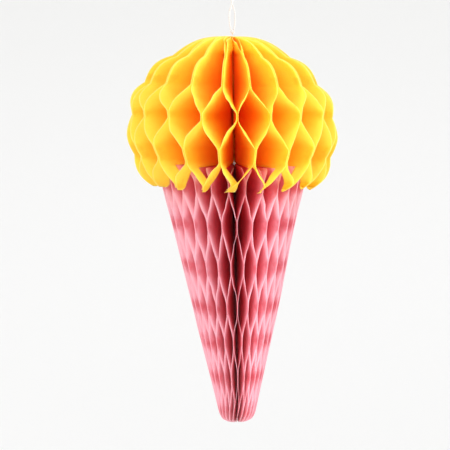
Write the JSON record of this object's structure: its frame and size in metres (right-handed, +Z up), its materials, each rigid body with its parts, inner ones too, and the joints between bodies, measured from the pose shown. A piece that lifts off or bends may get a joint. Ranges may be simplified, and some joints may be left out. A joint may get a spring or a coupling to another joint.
{
  "type": "honeycomb tissue decoration",
  "caption": "Hanging tissue paper honeycomb decoration shaped like an ice cream: round orange scoop on a pink cone, on a cord loop; folds flat.",
  "frame": {"origin": "hang point: the inner top of the cord loop's eye, where it rests on a hook", "axes": "+Z up along the cord and the paper's spine; -Y the front, opposite the seam between the two cover cards; +X to the right seen from the front"},
  "size_m": [0.163, 0.1608, 0.3932],
  "materials": {
    "scoop_tissue": "matte",
    "cone_tissue": "matte",
    "white_cord": "matte",
    "glued_fold": "matte",
    "cover_card": "matte",
    "adhesive_tab": "satin"
  },
  "bodies": {
    "hanging_loop": {"hanging_loop": "white_cord"},
    "knot": {"top_knot": "white_cord"},
    "spine": {"spine_cord": "white_cord", "scoop_spine_binding": "glued_fold", "cone_spine_binding": "glued_fold"},
    "right_card": {"right_cover_card": "cover_card", "scoop_adhesive_tab": "adhesive_tab", "upper_cone_adhesive_tab": "adhesive_tab", "lower_cone_adhesive_tab": "adhesive_tab"},
    "left_card": {"left_cover_card": "cover_card"},
    "scoop_leaf_pair_01": {"scoop_leaf_pair_01": "scoop_tissue"},
    "scoop_leaf_pair_02": {"scoop_leaf_pair_02": "scoop_tissue"},
    "scoop_leaf_pair_03": {"scoop_leaf_pair_03": "scoop_tissue"},
    "scoop_leaf_pair_04": {"scoop_leaf_pair_04": "scoop_tissue"},
    "scoop_leaf_pair_05": {"scoop_leaf_pair_05": "scoop_tissue"},
    "scoop_leaf_pair_06": {"scoop_leaf_pair_06": "scoop_tissue"},
    "scoop_leaf_pair_07": {"scoop_leaf_pair_07": "scoop_tissue"},
    "scoop_leaf_pair_08": {"scoop_leaf_pair_08": "scoop_tissue"},
    "scoop_leaf_pair_09": {"scoop_leaf_pair_09": "scoop_tissue"},
    "scoop_leaf_pair_10": {"scoop_leaf_pair_10": "scoop_tissue"},
    "scoop_leaf_pair_11": {"scoop_leaf_pair_11": "scoop_tissue"},
    "scoop_leaf_pair_12": {"scoop_leaf_pair_12": "scoop_tissue"},
    "scoop_leaf_pair_13": {"scoop_leaf_pair_13": "scoop_tissue"},
    "scoop_leaf_pair_14": {"scoop_leaf_pair_14": "scoop_tissue"},
    "scoop_leaf_pair_15": {"scoop_leaf_pair_15": "scoop_tissue"},
    "scoop_leaf_pair_16": {"scoop_leaf_pair_16": "scoop_tissue"},
    "scoop_leaf_pair_17": {"scoop_leaf_pair_17": "scoop_tissue"},
    "scoop_leaf_pair_18": {"scoop_leaf_pair_18": "scoop_tissue"},
    "cone_leaf_pair_01": {"cone_leaf_pair_01": "cone_tissue"},
    "cone_leaf_pair_02": {"cone_leaf_pair_02": "cone_tissue"},
    "cone_leaf_pair_03": {"cone_leaf_pair_03": "cone_tissue"},
    "cone_leaf_pair_04": {"cone_leaf_pair_04": "cone_tissue"},
    "cone_leaf_pair_05": {"cone_leaf_pair_05": "cone_tissue"},
    "cone_leaf_pair_06": {"cone_leaf_pair_06": "cone_tissue"},
    "cone_leaf_pair_07": {"cone_leaf_pair_07": "cone_tissue"},
    "cone_leaf_pair_08": {"cone_leaf_pair_08": "cone_tissue"},
    "cone_leaf_pair_09": {"cone_leaf_pair_09": "cone_tissue"},
    "cone_leaf_pair_10": {"cone_leaf_pair_10": "cone_tissue"},
    "cone_leaf_pair_11": {"cone_leaf_pair_11": "cone_tissue"},
    "cone_leaf_pair_12": {"cone_leaf_pair_12": "cone_tissue"},
    "cone_leaf_pair_13": {"cone_leaf_pair_13": "cone_tissue"},
    "cone_leaf_pair_14": {"cone_leaf_pair_14": "cone_tissue"},
    "cone_leaf_pair_15": {"cone_leaf_pair_15": "cone_tissue"},
    "cone_leaf_pair_16": {"cone_leaf_pair_16": "cone_tissue"},
    "cone_leaf_pair_17": {"cone_leaf_pair_17": "cone_tissue"},
    "cone_leaf_pair_18": {"cone_leaf_pair_18": "cone_tissue"},
    "cone_leaf_pair_19": {"cone_leaf_pair_19": "cone_tissue"},
    "cone_leaf_pair_20": {"cone_leaf_pair_20": "cone_tissue"},
    "cone_leaf_pair_21": {"cone_leaf_pair_21": "cone_tissue"},
    "cone_leaf_pair_22": {"cone_leaf_pair_22": "cone_tissue"},
    "cone_leaf_pair_23": {"cone_leaf_pair_23": "cone_tissue"},
    "cone_leaf_pair_24": {"cone_leaf_pair_24": "cone_tissue"},
    "cone_leaf_pair_25": {"cone_leaf_pair_25": "cone_tissue"},
    "cone_leaf_pair_26": {"cone_leaf_pair_26": "cone_tissue"}
  },
  "joints": [
    {"name": "swing", "type": "hinge", "parent": "hanging_loop", "child": "knot", "pos_m": [0, 0, -0.0893], "axis": [0, 1, 0], "range_deg": [-75, 75]},
    {"name": "spin", "type": "hinge", "parent": "knot", "child": "spine", "pos_m": [0, 0, -0.0893], "axis": [0, 0, 1], "continuous": true},
    {"name": "fold", "type": "hinge", "parent": "spine", "child": "right_card", "pos_m": [0, 0, -0.1], "axis": [0, 0, -1], "range_deg": [0, 174.7]},
    {"name": "fold_left_card", "type": "hinge", "parent": "spine", "child": "left_card", "pos_m": [0, 0, -0.1], "axis": [0, 0, 1], "range_deg": [0, 174.7]},
    {"name": "fold_scoop_01", "type": "hinge", "parent": "spine", "child": "scoop_leaf_pair_01", "pos_m": [0, 0, -0.1], "axis": [0, 0, 1], "range_deg": [0, 165.76]},
    {"name": "fold_scoop_02", "type": "hinge", "parent": "spine", "child": "scoop_leaf_pair_02", "pos_m": [0, 0, -0.1], "axis": [0, 0, 1], "range_deg": [0, 146.26]},
    {"name": "fold_scoop_03", "type": "hinge", "parent": "spine", "child": "scoop_leaf_pair_03", "pos_m": [0, 0, -0.1], "axis": [0, 0, 1], "range_deg": [0, 126.76]},
    {"name": "fold_scoop_04", "type": "hinge", "parent": "spine", "child": "scoop_leaf_pair_04", "pos_m": [0, 0, -0.1], "axis": [0, 0, 1], "range_deg": [0, 107.26]},
    {"name": "fold_scoop_05", "type": "hinge", "parent": "spine", "child": "scoop_leaf_pair_05", "pos_m": [0, 0, -0.1], "axis": [0, 0, 1], "range_deg": [0, 87.76]},
    {"name": "fold_scoop_06", "type": "hinge", "parent": "spine", "child": "scoop_leaf_pair_06", "pos_m": [0, 0, -0.1], "axis": [0, 0, 1], "range_deg": [0, 68.26]},
    {"name": "fold_scoop_07", "type": "hinge", "parent": "spine", "child": "scoop_leaf_pair_07", "pos_m": [0, 0, -0.1], "axis": [0, 0, 1], "range_deg": [0, 48.76]},
    {"name": "fold_scoop_08", "type": "hinge", "parent": "spine", "child": "scoop_leaf_pair_08", "pos_m": [0, 0, -0.1], "axis": [0, 0, 1], "range_deg": [0, 29.26]},
    {"name": "fold_scoop_09", "type": "hinge", "parent": "spine", "child": "scoop_leaf_pair_09", "pos_m": [0, 0, -0.1], "axis": [0, 0, 1], "range_deg": [0, 9.76]},
    {"name": "fold_scoop_10", "type": "hinge", "parent": "spine", "child": "scoop_leaf_pair_10", "pos_m": [0, 0, -0.1], "axis": [0, 0, -1], "range_deg": [0, 9.76]},
    {"name": "fold_scoop_11", "type": "hinge", "parent": "spine", "child": "scoop_leaf_pair_11", "pos_m": [0, 0, -0.1], "axis": [0, 0, -1], "range_deg": [0, 29.26]},
    {"name": "fold_scoop_12", "type": "hinge", "parent": "spine", "child": "scoop_leaf_pair_12", "pos_m": [0, 0, -0.1], "axis": [0, 0, -1], "range_deg": [0, 48.76]},
    {"name": "fold_scoop_13", "type": "hinge", "parent": "spine", "child": "scoop_leaf_pair_13", "pos_m": [0, 0, -0.1], "axis": [0, 0, -1], "range_deg": [0, 68.26]},
    {"name": "fold_scoop_14", "type": "hinge", "parent": "spine", "child": "scoop_leaf_pair_14", "pos_m": [0, 0, -0.1], "axis": [0, 0, -1], "range_deg": [0, 87.76]},
    {"name": "fold_scoop_15", "type": "hinge", "parent": "spine", "child": "scoop_leaf_pair_15", "pos_m": [0, 0, -0.1], "axis": [0, 0, -1], "range_deg": [0, 107.26]},
    {"name": "fold_scoop_16", "type": "hinge", "parent": "spine", "child": "scoop_leaf_pair_16", "pos_m": [0, 0, -0.1], "axis": [0, 0, -1], "range_deg": [0, 126.76]},
    {"name": "fold_scoop_17", "type": "hinge", "parent": "spine", "child": "scoop_leaf_pair_17", "pos_m": [0, 0, -0.1], "axis": [0, 0, -1], "range_deg": [0, 146.26]},
    {"name": "fold_scoop_18", "type": "hinge", "parent": "spine", "child": "scoop_leaf_pair_18", "pos_m": [0, 0, -0.1], "axis": [0, 0, -1], "range_deg": [0, 165.76]},
    {"name": "fold_cone_01", "type": "hinge", "parent": "spine", "child": "cone_leaf_pair_01", "pos_m": [0, 0, -0.1], "axis": [0, 0, 1], "range_deg": [0, 168.76]},
    {"name": "fold_cone_02", "type": "hinge", "parent": "spine", "child": "cone_leaf_pair_02", "pos_m": [0, 0, -0.1], "axis": [0, 0, 1], "range_deg": [0, 155.26]},
    {"name": "fold_cone_03", "type": "hinge", "parent": "spine", "child": "cone_leaf_pair_03", "pos_m": [0, 0, -0.1], "axis": [0, 0, 1], "range_deg": [0, 141.76]},
    {"name": "fold_cone_04", "type": "hinge", "parent": "spine", "child": "cone_leaf_pair_04", "pos_m": [0, 0, -0.1], "axis": [0, 0, 1], "range_deg": [0, 128.26]},
    {"name": "fold_cone_05", "type": "hinge", "parent": "spine", "child": "cone_leaf_pair_05", "pos_m": [0, 0, -0.1], "axis": [0, 0, 1], "range_deg": [0, 114.76]},
    {"name": "fold_cone_06", "type": "hinge", "parent": "spine", "child": "cone_leaf_pair_06", "pos_m": [0, 0, -0.1], "axis": [0, 0, 1], "range_deg": [0, 101.26]},
    {"name": "fold_cone_07", "type": "hinge", "parent": "spine", "child": "cone_leaf_pair_07", "pos_m": [0, 0, -0.1], "axis": [0, 0, 1], "range_deg": [0, 87.76]},
    {"name": "fold_cone_08", "type": "hinge", "parent": "spine", "child": "cone_leaf_pair_08", "pos_m": [0, 0, -0.1], "axis": [0, 0, 1], "range_deg": [0, 74.26]},
    {"name": "fold_cone_09", "type": "hinge", "parent": "spine", "child": "cone_leaf_pair_09", "pos_m": [0, 0, -0.1], "axis": [0, 0, 1], "range_deg": [0, 60.76]},
    {"name": "fold_cone_10", "type": "hinge", "parent": "spine", "child": "cone_leaf_pair_10", "pos_m": [0, 0, -0.1], "axis": [0, 0, 1], "range_deg": [0, 47.26]},
    {"name": "fold_cone_11", "type": "hinge", "parent": "spine", "child": "cone_leaf_pair_11", "pos_m": [0, 0, -0.1], "axis": [0, 0, 1], "range_deg": [0, 33.76]},
    {"name": "fold_cone_12", "type": "hinge", "parent": "spine", "child": "cone_leaf_pair_12", "pos_m": [0, 0, -0.1], "axis": [0, 0, 1], "range_deg": [0, 20.26]},
    {"name": "fold_cone_13", "type": "hinge", "parent": "spine", "child": "cone_leaf_pair_13", "pos_m": [0, 0, -0.1], "axis": [0, 0, 1], "range_deg": [0, 6.76]},
    {"name": "fold_cone_14", "type": "hinge", "parent": "spine", "child": "cone_leaf_pair_14", "pos_m": [0, 0, -0.1], "axis": [0, 0, -1], "range_deg": [0, 6.76]},
    {"name": "fold_cone_15", "type": "hinge", "parent": "spine", "child": "cone_leaf_pair_15", "pos_m": [0, 0, -0.1], "axis": [0, 0, -1], "range_deg": [0, 20.26]},
    {"name": "fold_cone_16", "type": "hinge", "parent": "spine", "child": "cone_leaf_pair_16", "pos_m": [0, 0, -0.1], "axis": [0, 0, -1], "range_deg": [0, 33.76]},
    {"name": "fold_cone_17", "type": "hinge", "parent": "spine", "child": "cone_leaf_pair_17", "pos_m": [0, 0, -0.1], "axis": [0, 0, -1], "range_deg": [0, 47.26]},
    {"name": "fold_cone_18", "type": "hinge", "parent": "spine", "child": "cone_leaf_pair_18", "pos_m": [0, 0, -0.1], "axis": [0, 0, -1], "range_deg": [0, 60.76]},
    {"name": "fold_cone_19", "type": "hinge", "parent": "spine", "child": "cone_leaf_pair_19", "pos_m": [0, 0, -0.1], "axis": [0, 0, -1], "range_deg": [0, 74.26]},
    {"name": "fold_cone_20", "type": "hinge", "parent": "spine", "child": "cone_leaf_pair_20", "pos_m": [0, 0, -0.1], "axis": [0, 0, -1], "range_deg": [0, 87.76]},
    {"name": "fold_cone_21", "type": "hinge", "parent": "spine", "child": "cone_leaf_pair_21", "pos_m": [0, 0, -0.1], "axis": [0, 0, -1], "range_deg": [0, 101.26]},
    {"name": "fold_cone_22", "type": "hinge", "parent": "spine", "child": "cone_leaf_pair_22", "pos_m": [0, 0, -0.1], "axis": [0, 0, -1], "range_deg": [0, 114.76]},
    {"name": "fold_cone_23", "type": "hinge", "parent": "spine", "child": "cone_leaf_pair_23", "pos_m": [0, 0, -0.1], "axis": [0, 0, -1], "range_deg": [0, 128.26]},
    {"name": "fold_cone_24", "type": "hinge", "parent": "spine", "child": "cone_leaf_pair_24", "pos_m": [0, 0, -0.1], "axis": [0, 0, -1], "range_deg": [0, 141.76]},
    {"name": "fold_cone_25", "type": "hinge", "parent": "spine", "child": "cone_leaf_pair_25", "pos_m": [0, 0, -0.1], "axis": [0, 0, -1], "range_deg": [0, 155.26]},
    {"name": "fold_cone_26", "type": "hinge", "parent": "spine", "child": "cone_leaf_pair_26", "pos_m": [0, 0, -0.1], "axis": [0, 0, -1], "range_deg": [0, 168.76]}
  ],
  "couplings": [
    {"joint": "fold_left_card", "follows": "fold", "ratio": 1},
    {"joint": "fold_scoop_01", "follows": "fold", "ratio": 0.94877},
    {"joint": "fold_scoop_02", "follows": "fold", "ratio": 0.83715},
    {"joint": "fold_scoop_03", "follows": "fold", "ratio": 0.72553},
    {"joint": "fold_scoop_04", "follows": "fold", "ratio": 0.61391},
    {"joint": "fold_scoop_05", "follows": "fold", "ratio": 0.50229},
    {"joint": "fold_scoop_06", "follows": "fold", "ratio": 0.39067},
    {"joint": "fold_scoop_07", "follows": "fold", "ratio": 0.27905},
    {"joint": "fold_scoop_08", "follows": "fold", "ratio": 0.16743},
    {"joint": "fold_scoop_09", "follows": "fold", "ratio": 0.05581},
    {"joint": "fold_scoop_10", "follows": "fold", "ratio": 0.05581},
    {"joint": "fold_scoop_11", "follows": "fold", "ratio": 0.16743},
    {"joint": "fold_scoop_12", "follows": "fold", "ratio": 0.27905},
    {"joint": "fold_scoop_13", "follows": "fold", "ratio": 0.39067},
    {"joint": "fold_scoop_14", "follows": "fold", "ratio": 0.50229},
    {"joint": "fold_scoop_15", "follows": "fold", "ratio": 0.61391},
    {"joint": "fold_scoop_16", "follows": "fold", "ratio": 0.72553},
    {"joint": "fold_scoop_17", "follows": "fold", "ratio": 0.83715},
    {"joint": "fold_scoop_18", "follows": "fold", "ratio": 0.94877},
    {"joint": "fold_cone_01", "follows": "fold", "ratio": 0.96594},
    {"joint": "fold_cone_02", "follows": "fold", "ratio": 0.88867},
    {"joint": "fold_cone_03", "follows": "fold", "ratio": 0.81139},
    {"joint": "fold_cone_04", "follows": "fold", "ratio": 0.73412},
    {"joint": "fold_cone_05", "follows": "fold", "ratio": 0.65684},
    {"joint": "fold_cone_06", "follows": "fold", "ratio": 0.57956},
    {"joint": "fold_cone_07", "follows": "fold", "ratio": 0.50229},
    {"joint": "fold_cone_08", "follows": "fold", "ratio": 0.42501},
    {"joint": "fold_cone_09", "follows": "fold", "ratio": 0.34774},
    {"joint": "fold_cone_10", "follows": "fold", "ratio": 0.27046},
    {"joint": "fold_cone_11", "follows": "fold", "ratio": 0.19319},
    {"joint": "fold_cone_12", "follows": "fold", "ratio": 0.11591},
    {"joint": "fold_cone_13", "follows": "fold", "ratio": 0.038638},
    {"joint": "fold_cone_14", "follows": "fold", "ratio": 0.038638},
    {"joint": "fold_cone_15", "follows": "fold", "ratio": 0.11591},
    {"joint": "fold_cone_16", "follows": "fold", "ratio": 0.19319},
    {"joint": "fold_cone_17", "follows": "fold", "ratio": 0.27046},
    {"joint": "fold_cone_18", "follows": "fold", "ratio": 0.34774},
    {"joint": "fold_cone_19", "follows": "fold", "ratio": 0.42501},
    {"joint": "fold_cone_20", "follows": "fold", "ratio": 0.50229},
    {"joint": "fold_cone_21", "follows": "fold", "ratio": 0.57956},
    {"joint": "fold_cone_22", "follows": "fold", "ratio": 0.65684},
    {"joint": "fold_cone_23", "follows": "fold", "ratio": 0.73412},
    {"joint": "fold_cone_24", "follows": "fold", "ratio": 0.81139},
    {"joint": "fold_cone_25", "follows": "fold", "ratio": 0.88867},
    {"joint": "fold_cone_26", "follows": "fold", "ratio": 0.96594}
  ]
}
